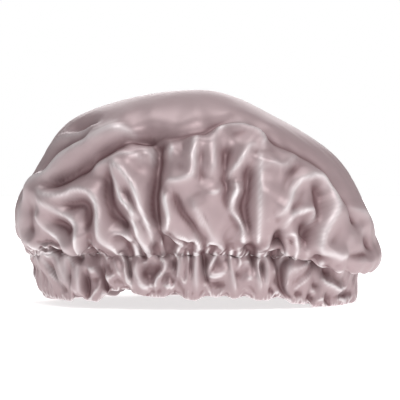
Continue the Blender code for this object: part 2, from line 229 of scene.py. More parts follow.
def cloth_grid(cells):
    """Shares round and climbs for a square grid pulled in to a disc.

    The point (a, b) of the square goes to (a sqrt(1 - b^2 / 2), b sqrt(1 - a^2 / 2)).
    """
    line = np.linspace(-1.0, 1.0, cells + 1)
    a, b = np.meshgrid(line, line + FRONT_SHARE * (line**2 - 1.0), indexing="ij")
    x, y = a * np.sqrt(1.0 - b**2 / 2), b * np.sqrt(1.0 - a**2 / 2)
    return np.mod(np.arctan2(y, x) / (2.0 * math.pi), 1.0), 1.0 - np.hypot(x, y)


def grid_normals(points):
    """Unit normals of a grid of points, from the cross product of its two directions."""
    normals = np.cross(np.gradient(points, axis=0), np.gradient(points, axis=1))
    return normals / np.maximum(np.linalg.norm(normals, axis=-1, keepdims=True), 1e-12)


def band_outward(share):
    """The horizontal direction straight out from the band: (cos / width, sin / depth), made one unit long."""
    angle = ring_angle(share)
    out = np.stack([np.cos(angle) / BAND_WIDTH, np.sin(angle) / BAND_DEPTH, 0.0 * angle], axis=-1)
    return out / np.linalg.norm(out, axis=-1, keepdims=True)


share, climb = cloth_grid(CROWN_CELLS)
crown_smooth = smooth_crown(share, climb)
crown_normals = grid_normals(crown_smooth)
print(f"crown grid {share.shape}, normals point out: {crown_normals[CROWN_CELLS // 2, CROWN_CELLS // 2, 2] > 0}")

# %% [markdown]
# A fold is drawn as a path with a height and two widths, one for each side of the path, because a real fold
# leans: it is steep on one side and rolls off on the other. The paths are in millimetres as the camera in
# front sees them: across from the middle, and up from the surface. A negative height is a valley.

# %% Folds of the front
Fold = namedtuple("Fold", "path height left right")
FRONT_FOLDS = (
    # The long line under the top panel, in two halves, and the roll above its left end.
    Fold(((-103, 75), (-91, 81), (-78, 89), (-65, 97), (-53, 104), (-47, 108), (-38, 110),
          (-29, 112)), -6.4, 2.0, 4.0),
    Fold(((-39, 110), (-26, 112), (-12, 112), (0, 114), (10, 116)), -4.0, 2.6, 4.4),
    Fold(((2, 115), (13, 117), (23, 118), (31, 117), (38, 114), (49, 107), (65, 99), (74, 93),
          (83, 83), (91, 71), (97, 62), (102, 47)), -4.0, 3.8, 2.6),
    Fold(((-114, 67), (-110, 73), (-103, 80), (-96, 86), (-88, 93), (-78, 100), (-67, 105),
          (-55, 110), (-42, 112)), 5.0, 4.5, 5.5),
    Fold(((-105, 81), (-97, 93), (-90, 101), (-80, 106), (-68, 110)), -3.4, 3.2, 4.0),
    Fold(((-103, 93), (-97, 100), (-90, 106), (-79, 110), (-70, 112), (-64, 116)), 2.6, 2.2, 2.4),
    Fold(((-88, 111), (-80, 116), (-71, 118), (-64, 118)), -3.6, 5.0, 4.0),
    Fold(((38, 120), (49, 112), (60, 105), (70, 100), (79, 92), (90, 85)), 1.8, 5.0, 4.0),
    # The left end: the rim inside the outline, and a long ridge that runs in and turns down.
    Fold(((-110, 72), (-115, 64), (-116, 55), (-116, 47), (-112, 40), (-105, 36), (-96, 33),
          (-92, 29)), 3.0, 2.6, 2.2),
    Fold(((-110, 68), (-112, 59), (-112, 49), (-108, 41)), -2.6, 3.4, 3.0),
    Fold(((-102, 76), (-100, 71), (-94, 69), (-87, 70), (-80, 73), (-73, 72), (-69, 67), (-67, 60),
          (-66, 53), (-64, 45), (-59, 40), (-53, 36), (-49, 31)), 4.0, 4.4, 3.0),
    Fold(((-94, 64), (-86, 65), (-77, 64), (-74, 54), (-75, 43)), -3.2, 3.6, 4.0),
    Fold(((-105, 65), (-100, 65), (-95, 62), (-90, 58), (-86, 56), (-82, 51), (-79, 43), (-77, 36),
          (-75, 27)), 4.0, 2.8, 4.0),
    Fold(((-104, 64), (-104, 57), (-101, 50), (-96, 45), (-90, 40), (-84, 36), (-79, 33)), 3.0, 3.6, 2.2),
    Fold(((-97, 57), (-93, 51), (-86, 45), (-82, 38)), -3.2, 3.4, 3.4),
    Fold(((-110, 39), (-101, 37), (-92, 35), (-86, 30)), -3.6, 2.4, 2.2),
    Fold(((-106, 32), (-101, 32), (-95, 31), (-92, 27)), 2.4, 2.2, 2.2),
    Fold(((-88, 33), (-86, 31), (-82, 28), (-80, 25)), 2.2, 2.2, 2.0),
    Fold(((-80, 33), (-78, 29), (-77, 25)), -4.6, 2.0, 2.0),
    Fold(((-75, 41), (-71, 39), (-66, 34), (-64, 28)), 3.0, 2.6, 2.2),
    Fold(((-73, 46), (-72, 39), (-68, 33), (-62, 27)), -4.2, 2.4, 2.2),
    Fold(((-96, 63), (-88, 54), (-79, 43)), -2.6, 12.0, 12.0),
    # Pressed creases on the top panel.
    Fold(((-48, 130), (-47, 123), (-47, 115)), 0.9, 1.8, 1.8),
    Fold(((-28, 134), (-31, 124), (-32, 114)), 0.8, 2.0, 1.6),
    Fold(((-15, 129), (-16, 114)), -1.0, 1.6, 1.6),
    Fold(((-3, 136), (-2, 125), (-2, 116)), 0.9, 1.8, 2.2),
    Fold(((26, 130), (19, 125), (10, 121)), 0.9, 1.8, 1.8),
    Fold(((26, 125), (17, 121), (5, 118)), -0.8, 2.2, 2.2),
    # Front left: the deep hollow, and two ridges that fall from one peak.
    Fold(((-60, 90), (-61, 81), (-62, 71), (-60, 62), (-55, 54), (-48, 48), (-43, 44)), -5.4, 5.0, 4.6),
    Fold(((-56, 93), (-56, 84), (-54, 76), (-52, 69), (-47, 63), (-43, 58), (-39, 53)), 4.0, 4.2, 2.2),
    Fold(((-56, 93), (-52, 88), (-47, 82), (-43, 76), (-40, 69), (-38, 60), (-36, 53), (-32, 45),
          (-30, 37)), 4.2, 4.0, 3.0),
    Fold(((-53, 79), (-48, 71), (-43, 63), (-39, 56), (-36, 49), (-32, 42)), -3.6, 1.8, 2.6),
    Fold(((-49, 58), (-44, 53), (-40, 47), (-36, 40), (-34, 34), (-32, 28)), 3.6, 2.6, 3.0),
    Fold(((-59, 49), (-54, 45), (-47, 43), (-42, 40), (-40, 34), (-38, 28)), 3.2, 2.2, 2.8),
    Fold(((-53, 42), (-49, 39), (-45, 34), (-43, 28)), 1.4, 2.0, 2.0),
    Fold(((-58, 45), (-51, 41), (-46, 36), (-43, 29)), -4.6, 2.0, 2.2),
    Fold(((-46, 46), (-41, 39), (-37, 32), (-35, 27)), -4.2, 1.8, 2.0),
    Fold(((-73, 85), (-65, 90), (-57, 93), (-51, 96), (-43, 96), (-35, 93)), 2.8, 4.6, 3.6),
    Fold(((-51, 103), (-46, 99), (-40, 95), (-32, 91)), -1.6, 1.6, 1.4),
    Fold(((-47, 89), (-40, 86), (-34, 81)), -1.5, 5.5, 5.5),
    Fold(((-38, 99), (-34, 101)), 2.4, 6.0, 6.0),
    # Front middle: the deep upright valley, and the raised panel beside it.
    Fold(((-29, 110), (-28, 101), (-28, 90), (-29, 79), (-30, 67), (-30, 56), (-27, 47), (-22, 41),
          (-13, 37)), -6.8, 4.0, 4.2),
    Fold(((-33, 108), (-32, 99), (-32, 89)), 3.0, 1.6, 4.0),
    Fold(((-20, 108), (-19, 101), (-20, 92)), 3.6, 5.0, 5.0),
    Fold(((-10, 111), (-12, 102), (-12, 93)), -2.4, 5.0, 4.6),
    Fold(((-1, 112), (-3, 104), (-4, 95), (-4, 88), (-6, 82), (-14, 79), (-20, 79), (-25, 75)), 3.8, 3.0, 4.6),
    Fold(((-25, 76), (-24, 67), (-21, 57), (-22, 51), (-24, 46), (-21, 42), (-14, 40), (-10, 37)), 4.2, 4.6, 2.2),
    Fold(((-18, 75), (-16, 67), (-12, 59), (-6, 51), (-1, 43), (0, 36)), -3.4, 2.6, 1.8),
    Fold(((-20, 49), (-14, 46), (-7, 44), (-3, 43), (-1, 38), (-2, 33)), 3.4, 2.4, 1.8),
    Fold(((-18, 43), (-12, 42), (-8, 38)), -3.0, 1.8, 1.6),
    Fold(((-5, 42), (-5, 36)), -3.6, 1.8, 1.8),
    Fold(((1, 103), (-1, 94), (-1, 85), (2, 77)), -2.4, 3.0, 2.2),
    Fold(((9, 111), (8, 102), (9, 92), (7, 81)), 2.6, 4.2, 5.0),
    Fold(((2, 75), (6, 72), (12, 73), (16, 79)), 2.0, 2.2, 3.2),
    Fold(((0, 64), (3, 56), (8, 47)), -1.3, 1.2, 1.6),
    Fold(((-6, 69), (-1, 59), (6, 49), (14, 42)), 2.4, 7.0, 7.0),
    Fold(((5, 37), (6, 42), (10, 43), (13, 39), (15, 34)), 3.0, 1.8, 2.0),
    Fold(((8, 41), (10, 36)), -3.6, 1.6, 1.6),
    # Front middle right: the tall lobe, its straight edge and the ridge inside it.
    Fold(((10, 106), (12, 112), (18, 116), (25, 117), (31, 116), (36, 112), (40, 106), (40, 98)), 4.0, 2.6, 4.0),
    Fold(((16, 110), (26, 112), (36, 110)), -1.8, 2.6, 5.6),
    Fold(((18, 106), (17, 96), (17, 86), (18, 76), (18, 67), (21, 58), (25, 50), (27, 42)), -4.4, 3.6, 3.8),
    Fold(((38, 101), (32, 101), (29, 97), (25, 90), (21, 86), (19, 80)), 3.6, 2.6, 4.0),
    Fold(((19, 79), (23, 77), (29, 79)), 2.2, 2.8, 1.8),
    Fold(((29, 76), (23, 71), (21, 66), (21, 60), (25, 53), (28, 45), (29, 37)), 3.8, 2.4, 3.0),
    Fold(((34, 94), (33, 83), (32, 72), (30, 63), (31, 53), (32, 41)), -5.2, 4.4, 4.2),
    Fold(((38, 99), (39, 86), (38, 70), (38, 54), (38, 37)), 4.0, 4.6, 3.2),
    Fold(((41, 98), (41, 83), (40, 67), (40, 38)), -1.4, 2.6, 2.6),
    Fold(((43, 80), (43, 64), (43, 46)), 1.8, 5.0, 5.0),
    Fold(((41, 86), (45, 90), (51, 88), (56, 90), (60, 94), (64, 98)), 2.4, 3.0, 2.2),
    Fold(((51, 88), (51, 79)), 2.0, 2.2, 2.2),
    Fold(((64, 93), (59, 82), (56, 73), (53, 66)), -2.6, 3.6, 3.6),
    # Front right: two arched folds, one inside the other, and the pocket at the end.
    Fold(((47, 56), (52, 60), (56, 67), (59, 74), (64, 79), (70, 81), (77, 81), (82, 78), (86, 71),
          (86, 64), (83, 56), (79, 48), (77, 41), (77, 36), (83, 33), (92, 31), (97, 30)), 4.8, 4.6, 3.0),
    Fold(((70, 76), (77, 75), (79, 68), (77, 59), (74, 51), (71, 42), (66, 34)), -4.4, 4.0, 4.2),
    Fold(((53, 46), (55, 53), (59, 58), (66, 60), (72, 61), (73, 56), (71, 49)), 4.0, 2.6, 3.2),
    Fold(((67, 55), (69, 47), (67, 38), (62, 32)), -4.2, 2.4, 2.8),
    Fold(((55, 56), (60, 61), (67, 64)), -2.8, 2.4, 1.6),
    Fold(((53, 50), (51, 42), (50, 33), (50, 25)), -5.4, 2.0, 2.2),
    Fold(((53, 42), (58, 45), (62, 43), (64, 37), (62, 32), (58, 27)), 3.0, 2.4, 1.8),
    Fold(((56, 42), (60, 39), (60, 34)), -3.0, 1.8, 1.8),
    Fold(((88, 67), (92, 56), (93, 45), (97, 36)), 2.0, 7.0, 7.0),
    Fold(((98, 63), (104, 59), (110, 53), (114, 45), (118, 37)), 3.2, 3.6, 3.0),
    Fold(((100, 56), (103, 50)), -2.2, 2.6, 2.6),
    Fold(((104, 45), (110, 43), (113, 38), (116, 32)), -4.6, 2.4, 2.8),
    Fold(((95, 28), (101, 31), (109, 32), (116, 29)), -2.4, 1.6, 2.2),
)
FOLD_STEPS = 8
END_TAPER = 9.0
BREADTH = 1.10
CREST = 0.36


def seen_from_front(points):
    """Where the camera in front sees each point, in millimetres across and up at the bonnet's middle."""
    away = points[..., 1] * math.cos(CAMERA_RISE) - (points[..., 2] - AIM.z) * math.sin(CAMERA_RISE)
    rise = points[..., 1] * math.sin(CAMERA_RISE) + (points[..., 2] - AIM.z) * math.cos(CAMERA_RISE)
    nearer = CAMERA_DISTANCE / (CAMERA_DISTANCE + away)
    return np.stack([points[..., 0] * nearer, AIM.z + rise * nearer], axis=-1) / MM


def fold_relief(flat, fold, taper):
    """A crest along the fold's path: exp(-(sqrt(d^2 + c^2) - c) / w) at distance d, with a rounding c.

    The width w is the left-hand or the right-hand one, by the side that a point lies on.
    """
    line = spline(fold.path, np.linspace(0.0, len(fold.path) - 1, FOLD_STEPS * (len(fold.path) - 1) + 1))
    start, step = line[:-1], np.diff(line, axis=0)
    lengths = np.maximum(np.linalg.norm(step, axis=1), 1e-9)
    walked = np.concatenate([[0.0], np.cumsum(lengths)])
    offset = flat[:, None, :] - start[None]
    along = np.clip((offset * step).sum(axis=2) / lengths**2, 0.0, 1.0)
    gap = offset - along[..., None] * step
    away = np.hypot(gap[..., 0], gap[..., 1])
    nearest = away.argmin(axis=1)
    every = np.arange(len(flat))
    distance = away[every, nearest]
    side = step[nearest, 0] * gap[every, nearest, 1] - step[nearest, 1] * gap[every, nearest, 0]
    width = BREADTH * (fold.right + (fold.left - fold.right) * smooth_step(-0.8, 0.8, side / lengths[nearest]))
    place = walked[nearest] + along[every, nearest] * lengths[nearest]
    ends = smooth_step(-2.0, taper, np.minimum(place, walked[-1] - place))
    crest = CREST * width
    return ends * np.exp(-(np.sqrt(distance**2 + crest**2) - crest) / width)


def fold_heights(flat, folds, taper=END_TAPER):
    """The sum of the folds at flat points, in metres. Each fold is worked out only near its own path."""
    heights = np.zeros(len(flat))
    for fold in folds:
        reach = 5.0 * BREADTH * max(fold.left, fold.right)
        path = np.array(fold.path, float)
        low, high = path.min(axis=0) - reach, path.max(axis=0) + reach
        near = np.nonzero(((flat > low) & (flat < high)).all(axis=1))[0]
        if len(near):
            heights[near] += fold.height * MM * fold_relief(flat[near], fold, taper)
    return heights


# %% [markdown]
# The folds don't stop at the seam: they run on down the band to its lower edge. So both pieces read one
# relief, the sum of the folds drawn for each. On the band and near the seam its height is held in, because
# the elastic holds the cloth there.

# %% The band's front
BAND_FOLDS = (
    Fold(((-106, 33), (-99, 24), (-93, 17), (-87, 8)), 2.4, 1.8, 2.2),
    Fold(((-104, 33), (-95, 32), (-92, 27), (-90, 20), (-85, 10)), 2.6, 2.0, 1.8),
    Fold(((-97, 27), (-93, 21), (-91, 15), (-86, 7)), -2.6, 1.6, 1.6),
    Fold(((-90, 34), (-88, 30), (-88, 24), (-87, 15)), 2.2, 1.8, 2.0),
    Fold(((-85, 30), (-80, 25), (-80, 18), (-79, 8), (-76, 3)), 2.8, 2.2, 2.0),
    Fold(((-84, 24), (-83, 18), (-82, 11)), -2.0, 1.6, 1.6),
    Fold(((-79, 33), (-76, 27)), -4.0, 2.8, 2.6),
    Fold(((-75, 24), (-77, 19), (-78, 11), (-75, 4)), 2.0, 1.6, 1.8),
    Fold(((-75, 22), (-74, 15), (-73, 3)), -3.0, 1.4, 1.4),
    Fold(((-74, 26), (-69, 21), (-64, 19)), 2.2, 2.0, 1.8),
    Fold(((-68, 18), (-67, 14)), -2.2, 2.6, 2.6),
    Fold(((-69, 10), (-65, 7)), 2.0, 5.0, 5.0),
    Fold(((-66, 27), (-64, 21), (-62, 12), (-60, 6)), -3.4, 1.6, 1.6),
    Fold(((-63, 24), (-60, 17), (-57, 10)), 1.8, 1.8, 1.8),
    Fold(((-56, 21), (-53, 15)), 1.8, 5.0, 5.0),
    Fold(((-56, 30), (-53, 23), (-49, 14)), 2.0, 1.6, 1.6),
    Fold(((-52, 33), (-48, 27), (-47, 18), (-42, 8)), 2.4, 1.8, 1.6),
    Fold(((-49, 33), (-47, 27), (-45, 18), (-44, 12)), -3.4, 1.5, 1.5),
    Fold(((-40, 29), (-42, 21), (-39, 14), (-32, 7)), 3.0, 3.0, 2.8),
    Fold(((-33, 27), (-32, 19), (-31, 11)), -3.6, 4.6, 4.6),
    Fold(((-28, 32), (-23, 27), (-23, 21), (-28, 16), (-29, 8)), 2.6, 1.8, 1.8),
    Fold(((-28, 31), (-25, 29)), -2.2, 1.8, 1.8),
    Fold(((-26, 17), (-19, 20)), -2.6, 1.2, 1.2),
    Fold(((-25, 13), (-19, 10), (-16, 12)), 1.8, 2.0, 2.0),
    Fold(((-19, 34), (-14, 29), (-14, 21), (-15, 14)), 2.4, 1.8, 1.6),
    Fold(((-16, 32), (-16, 25), (-16, 18)), -2.8, 1.5, 1.5),
    Fold(((-11, 33), (-12, 25), (-12, 18), (-10, 14), (-8, 18), (-7, 27), (-8, 33)), 2.0, 1.6, 1.4),
    Fold(((-6, 33), (-6, 25), (-6, 16)), -3.2, 1.6, 1.6),
    Fold(((-10, 8), (-5, 8)), 1.6, 4.0, 4.0),
    Fold(((-2, 34), (-3, 27), (-3, 18), (-2, 7)), 3.0, 2.4, 2.6),
    Fold(((1, 34), (3, 27), (4, 19), (5, 12)), -3.4, 1.6, 1.6),
    Fold(((11, 33), (8, 27), (5, 21), (6, 18), (12, 18), (18, 21)), 2.4, 1.6, 1.6),
    Fold(((13, 31), (10, 25), (8, 21)), -1.6, 1.4, 1.4),
    Fold(((6, 14), (12, 12), (17, 11)), -1.4, 1.8, 1.8),
    Fold(((20, 34), (19, 27), (21, 18), (23, 6)), 2.4, 1.6, 1.8),
    Fold(((18, 33), (18, 27), (19, 21)), -3.0, 1.4, 1.4),
    Fold(((22, 32), (25, 29), (25, 24), (22, 21)), 1.6, 1.4, 1.4),
    Fold(((22, 21), (25, 16)), -3.2, 1.3, 1.3),
    Fold(((25, 34), (33, 34), (35, 27), (38, 17)), -2.8, 1.8, 1.8),
    Fold(((30, 29), (31, 23)), 2.0, 4.6, 4.6),
    Fold(((29, 19), (32, 16), (36, 15)), 1.8, 2.6, 2.6),
    Fold(((38, 33), (37, 25), (38, 18), (39, 7)), 2.8, 1.6, 1.6),
    Fold(((41, 32), (43, 27), (43, 18), (43, 8)), 2.2, 1.8, 1.6),
    Fold(((40, 29), (40, 21), (40, 14)), -3.6, 1.3, 1.3),
    Fold(((48, 27), (49, 15)), 2.0, 5.0, 5.0),
    Fold(((44, 12), (48, 5)), -1.8, 1.4, 1.4),
    Fold(((50, 36), (51, 27), (53, 16), (55, 9), (60, 3)), -4.0, 2.0, 2.0),
    Fold(((53, 19), (53, 25), (56, 28), (59, 28)), -3.0, 1.6, 1.6),
    Fold(((51, 21), (53, 29), (56, 31), (61, 29)), 2.2, 1.4, 1.4),
    Fold(((62, 31), (59, 25), (55, 16)), 2.4, 1.6, 1.6),
    Fold(((70, 26), (64, 23), (58, 19), (56, 12), (58, 4)), 2.8, 1.8, 2.0),
    Fold(((65, 16), (69, 12)), 2.4, 5.0, 5.0),
    Fold(((60, 8), (64, 6), (68, 6)), -2.2, 1.6, 1.6),
    Fold(((71, 25), (77, 29), (84, 31)), -3.6, 2.4, 2.4),
    Fold(((79, 21), (85, 21)), -4.6, 2.4, 2.6),
    Fold(((72, 11), (78, 12)), -3.2, 1.6, 1.6),
    Fold(((77, 17), (83, 12), (90, 8), (95, 10)), 2.6, 1.6, 1.6),
    Fold(((87, 23), (94, 18)), 2.2, 2.0, 2.0),
    Fold(((86, 6), (93, 6), (98, 7), (100, 3)), -2.6, 1.4, 1.4),
    Fold(((72, 8), (73, -1)), -3.0, 1.5, 1.5),
    Fold(((82, 8), (84, -2)), -2.6, 1.5, 1.5),
    Fold(((95, 11), (97, 13)), -2.6, 1.8, 1.8),
    Fold(((77, 5), (79, 0)), 1.8, 3.0, 3.0),
    Fold(((90, 3), (95, 2)), 1.8, 3.0, 3.0),
)
HEM_LINE = (
    (-110, 23), (-106, 18), (-104, 12), (-101, 7), (-96, 4), (-91, 3), (-82, 2), (-79, 6), (-75, 5),
    (-73, 3), (-65, 2), (-60, 6), (-57, 9), (-52, 9), (-47, 12), (-45, 13), (-43, 8), (-36, 6), (-29, 5),
    (-23, 5), (-16, 8), (-9, 4), (-3, 3), (4, 6), (10, 5), (16, 6), (21, 4), (26, 5), (28, 6), (36, 3),
    (43, 3), (48, 5), (53, 4), (58, 1), (67, 0), (69, 1), (72, -2), (77, -1), (85, -4), (94, -2),
    (99, 1), (103, 5),
)
print(len(BAND_FOLDS), "folds on the band,", len(HEM_LINE), "points along its lower edge")

# %% [markdown]
# Both lists of folds belong to both pieces, so a fold that crosses the seam runs on without a step. Near the
# seam the elastic holds the cloth, so there the heights are eased towards a few millimetres. The folds move
# the cloth straight out at the seam, and along the cap's own normal higher up.

# %% The relief of the front
FOLD_STRENGTH = 1.7
BAND_STRENGTH = 2.3
SEAM_LIMIT = 4.0 * MM


def front_relief(points, limit):
    """Heights of all the front's folds at the points, eased towards a limit by limit * tanh(height / limit)."""
    flat = seen_from_front(points).reshape(-1, 2)
    heights = FOLD_STRENGTH * fold_heights(flat, FRONT_FOLDS) + BAND_STRENGTH * fold_heights(flat, BAND_FOLDS)
    return limit * np.tanh(heights.reshape(points.shape[:-1]) / limit)


def front_share(share):
    """How far a place on the band belongs to the front: 1 along the front, 0 past its two ends."""
    return smooth_step(0.02, 0.40, -np.sin(ring_angle(share)))


lean = smooth_step(0.0, 0.12, climb)
facing_front = lean * smooth_step(0.02, 0.46, -crown_normals[..., 1]) + (1.0 - lean) * front_share(share)
free = smooth_step(0.05, 0.32, climb)
limits = SEAM_LIMIT + 60 * MM * free
front_heights = front_relief(crown_smooth, limits) * facing_front
fold_out = lean[..., None] * crown_normals + (1.0 - lean[..., None]) * band_outward(share)
fold_out /= np.linalg.norm(fold_out, axis=-1, keepdims=True)
print(f"front folds from {front_heights.min() / MM:.1f} to {front_heights.max() / MM:.1f} mm")

# %% [markdown]
# The sides and the back aren't in the picture, but the same cloth is gathered there by the same elastic. Their
# folds are drawn on the unrolled crown: millimetres round it from the middle of the back, and millimetres up
# from the seam. They climb from the gathers, lean, and die out below a long line like the front's. Many small
# pleats cross the seam between them. These needn't be placed one by one, so a seeded random draw places them.
# The right end stays nearly smooth, because the picture shows one full pocket there.

# %% Folds of the sides and back
REST_FOLDS = (
    Fold(((-150, -8), (-147, 20), (-140, 40), (-128, 58), (-112, 70)), 4.0, 5.4, 7.0),
    Fold(((-137, -2), (-131, 26), (-121, 46)), -3.4, 5.0, 5.4),
    Fold(((-128, -20), (-124, 14), (-116, 38), (-109, 52)), 3.0, 4.6, 6.0),
    Fold(((-108, -10), (-104, 18), (-99, 38), (-90, 60), (-76, 82)), 4.6, 5.6, 8.0),
    Fold(((-96, -4), (-92, 24), (-84, 46), (-70, 66)), -4.4, 5.6, 5.2),
    Fold(((-86, -22), (-80, 12), (-77, 34), (-79, 48)), 2.6, 4.6, 5.2),
    Fold(((-70, -12), (-66, 18), (-58, 42), (-55, 64), (-58, 86)), 4.2, 7.6, 5.4),
    Fold(((-60, -4), (-52, 22), (-46, 40), (-44, 62)), -4.8, 5.4, 5.8),
    Fold(((-48, -24), (-42, 10), (-35, 30), (-34, 46), (-38, 60)), 3.0, 5.0, 5.0),
    Fold(((-27, -10), (-26, 20), (-22, 44), (-12, 66), (0, 82)), 4.6, 8.0, 5.6),
    Fold(((-18, -3), (-14, 22), (-8, 42), (4, 60)), -4.2, 5.2, 5.6),
    Fold(((-8, -24), (-3, 10), (4, 28), (6, 40)), 2.6, 4.6, 4.8),
    Fold(((12, -10), (14, 22), (20, 48), (22, 72), (16, 92)), 4.2, 5.4, 8.0),
    Fold(((22, -4), (26, 24), (33, 44), (36, 66)), -5.0, 5.6, 5.8),
    Fold(((34, -22), (37, 12), (44, 32), (52, 42)), 2.8, 4.8, 5.0),
    Fold(((52, -12), (53, 18), (50, 40), (54, 60), (66, 78)), 4.2, 5.6, 7.4),
    Fold(((63, -4), (66, 22), (68, 42), (78, 60)), -4.4, 5.4, 5.4),
    Fold(((74, -22), (78, 14), (86, 36), (88, 50)), 3.0, 4.8, 5.4),
    Fold(((94, -10), (96, 20), (104, 44), (106, 64), (98, 82)), 4.0, 5.4, 7.4),
    Fold(((105, -3), (110, 24), (118, 44)), -4.0, 5.2, 5.4),
    Fold(((118, -20), (124, 18), (134, 40), (148, 54)), 3.6, 5.2, 6.2),
    Fold(((134, -4), (141, 20), (152, 34)), -3.4, 5.0, 5.0),
    Fold(((146, -12), (152, 14), (160, 28)), 2.6, 4.6, 4.8),
    # The two ends, where folds lean over towards the front.
    Fold(((156, -6), (158, 20), (154, 44), (158, 66), (150, 88)), 0.7, 6.0, 7.0),
    Fold(((170, 2), (175, 24), (173, 50)), -1.2, 5.0, 6.0),
    Fold(((142, 38), (147, 62), (141, 84), (128, 102)), 2.2, 5.6, 7.0),
    Fold(((132, 44), (135, 64), (128, 84)), -2.2, 5.0, 5.6),
    Fold(((-156, 24), (-154, 48), (-147, 72), (-136, 94)), 2.2, 5.6, 7.0),
    Fold(((-168, 30), (-166, 54), (-158, 80), (-150, 100)), -1.8, 5.6, 6.0),
    Fold(((-140, 74), (-128, 92), (-110, 106)), 2.0, 5.6, 7.0),
    # The long line at the back, and the soft rolls above it.
    Fold(((-150, 62), (-124, 78), (-96, 98), (-60, 104), (-24, 98), (4, 102), (30, 114), (62, 112), (88, 98),
          (116, 88), (150, 64)), -2.3, 6.5, 4.6),
    Fold(((-128, 90), (-100, 106), (-66, 116), (-30, 118)), 2.4, 7.0, 7.0),
    Fold(((40, 130), (78, 122), (108, 106)), 2.4, 7.0, 7.0),
)
CROWN_ROUND = 650.0
CROWN_CLIMB = 180.0
REST_STRENGTH = 2.1
SMALL_STRENGTH = 1.4
REST_TAPER = 15.0
SMALL_PLEATS = 92
UNDULATION = 0.7 * MM


def small_pleats(count, seed):
    """Folds from below the band to a little above the seam, unevenly spaced, bent and leaning at random."""
    draw = np.random.default_rng(seed)
    for number in range(count):
        place = CROWN_ROUND * ((number + draw.uniform(-0.45, 0.45)) / count - 0.5)
        lean, bent = draw.uniform(-5.0, 5.0, 2)
        top = draw.uniform(1.0, 10.0)
        path = ((place - lean, -34.0), (place + bent, -20.0), (place - 0.5 * bent, -8.0), (place + lean, top))
        yield Fold(path, draw.choice((-1.0, 1.0)) * draw.uniform(1.2, 2.8), *draw.uniform(1.8, 3.6, 2))


SMALL_FOLDS = tuple(small_pleats(SMALL_PLEATS, 3))


def rest_relief(share, rise, limit):
    """Heights of the sides' and the back's folds at a share round and a height up from the seam, in metres."""
    around = (np.mod(share + 0.25, 1.0) - 0.5) * CROWN_ROUND
    flat = np.stack([around, rise / MM], axis=-1).reshape(-1, 2)
    heights = REST_STRENGTH * fold_heights(flat, REST_FOLDS, REST_TAPER)
    heights += SMALL_STRENGTH * fold_heights(flat, SMALL_FOLDS)
    return limit * np.tanh(heights.reshape(share.shape) / limit)


def seeded_bumps(shape, cells, seed):
    """Smooth random heights from -1 to 1: a coarse seeded table, read with a spline both ways."""
    table = np.random.default_rng(seed).uniform(-1.0, 1.0, cells)
    along = spline(table, np.linspace(0, cells[0] - 1, shape[0]))
    return spline(along.T, np.linspace(0, cells[1] - 1, shape[1])).T


right_end = smooth_step(0.0, 0.06, climb) * smooth_step(0.55, 0.30, climb)
right_end *= smooth_step(0.80, 0.97, np.cos(ring_angle(share)))
rest_heights = rest_relief(share, climb * CROWN_CLIMB * MM, limits) * (1.0 - facing_front) * (1.0 - 0.75 * right_end)
rest_heights += UNDULATION * seeded_bumps(share.shape, (15, 15), 7) * smooth_step(0.0, 0.2, climb)
print(f"folds of the sides and back from {rest_heights.min() / MM:.1f} to {rest_heights.max() / MM:.1f} mm")

# %% [markdown]
# Just above the seam the spare cloth also stands in even little gathers, as it does along any elastic. They
# fade within a centimetre or two of it.

# %% Gathers above the seam
GATHER_HEIGHT = 1.3 * MM
GATHER_LENGTH = 14.0

gather_fade = smooth_step(0.0, 0.05, climb) * np.exp(-climb * CROWN_CLIMB / GATHER_LENGTH)
seam_gathers = GATHER_HEIGHT * (1.0 - 0.5 * facing_front) * (1.0 - 0.8 * right_end) * gather_fade
seam_gathers = seam_gathers * pleat_wave(share + 0.02 * climb, PLEATS, 0.0)
print(f"gathers up to {seam_gathers.max() / MM:.1f} mm")

# %% [markdown]
# The drawn crown is the smooth cap moved out by all of its folds and gathers.

# %% The drawn crown
crown_drawn = crown_smooth + (front_heights + rest_heights + seam_gathers)[..., None] * fold_out
print("drawn crown", crown_drawn.reshape(-1, 3).min(axis=0).round(4), crown_drawn.reshape(-1, 3).max(axis=0).round(4))

# %% [markdown]
# Drawn folds alone look carved. Real cloth finds its own shape: it hardly stretches, so where there is more
# of it than the space needs, it buckles. This small cloth simulation gives it that. Every pair of
# neighbouring points is a thread with a length of its own, a little longer than on the drawing, and the
# threads are put right one family at a time, over and over, while the drawing pulls softly on every point.
# Longer threads that skip a few points keep the cloth from creasing as sharply as paper.

# %% Threads
Threads = namedtuple("Threads", "first second length grip")


def thread_family(numbers, lengths_of, step, grip):
    """The threads between each point and the one a (rows, columns) step away, in two sets with no shared point."""
    rows, columns = step
    here = numbers[: numbers.shape[0] - rows, max(0, -columns) : numbers.shape[1] - max(0, columns)]
    there = numbers[rows:, max(0, columns) : numbers.shape[1] + min(0, columns)]
    span = rows if rows else columns
    place = np.arange(here.shape[0])[:, None] if rows else np.arange(here.shape[1])[None, :]
    turn = np.broadcast_to((place // span) % 2, here.shape)
    for parity in (0, 1):
        first, second = here[turn == parity], there[turn == parity]
        yield Threads(first, second, lengths_of(first, second), grip)


def cloth_threads(points, spare_round, spare_up, climbed, families):
    """Thread lengths: the drawn distance, times 1 plus the spare cloth round or up, by the thread's direction.

    climbed is the way up in metres. A thread's spare goes by the square of the share of it that leads up.
    """
    flat, height = points.reshape(-1, 3), climbed.reshape(-1)
    spare_round, spare_up = spare_round.reshape(-1), spare_up.reshape(-1)

    def lengths_of(first, second):
        drawn = np.linalg.norm(flat[second] - flat[first], axis=1)
        leads_up = np.minimum(np.abs(height[second] - height[first]) / np.maximum(drawn, 1e-9), 1.0) ** 2
        spare = spare_round[first] + leads_up * (spare_up[first] - spare_round[first])
        return drawn * (1.0 + spare)

    numbers = np.arange(climbed.size).reshape(climbed.shape)
    return [threads for step, grip in families for threads in thread_family(numbers, lengths_of, step, grip)]


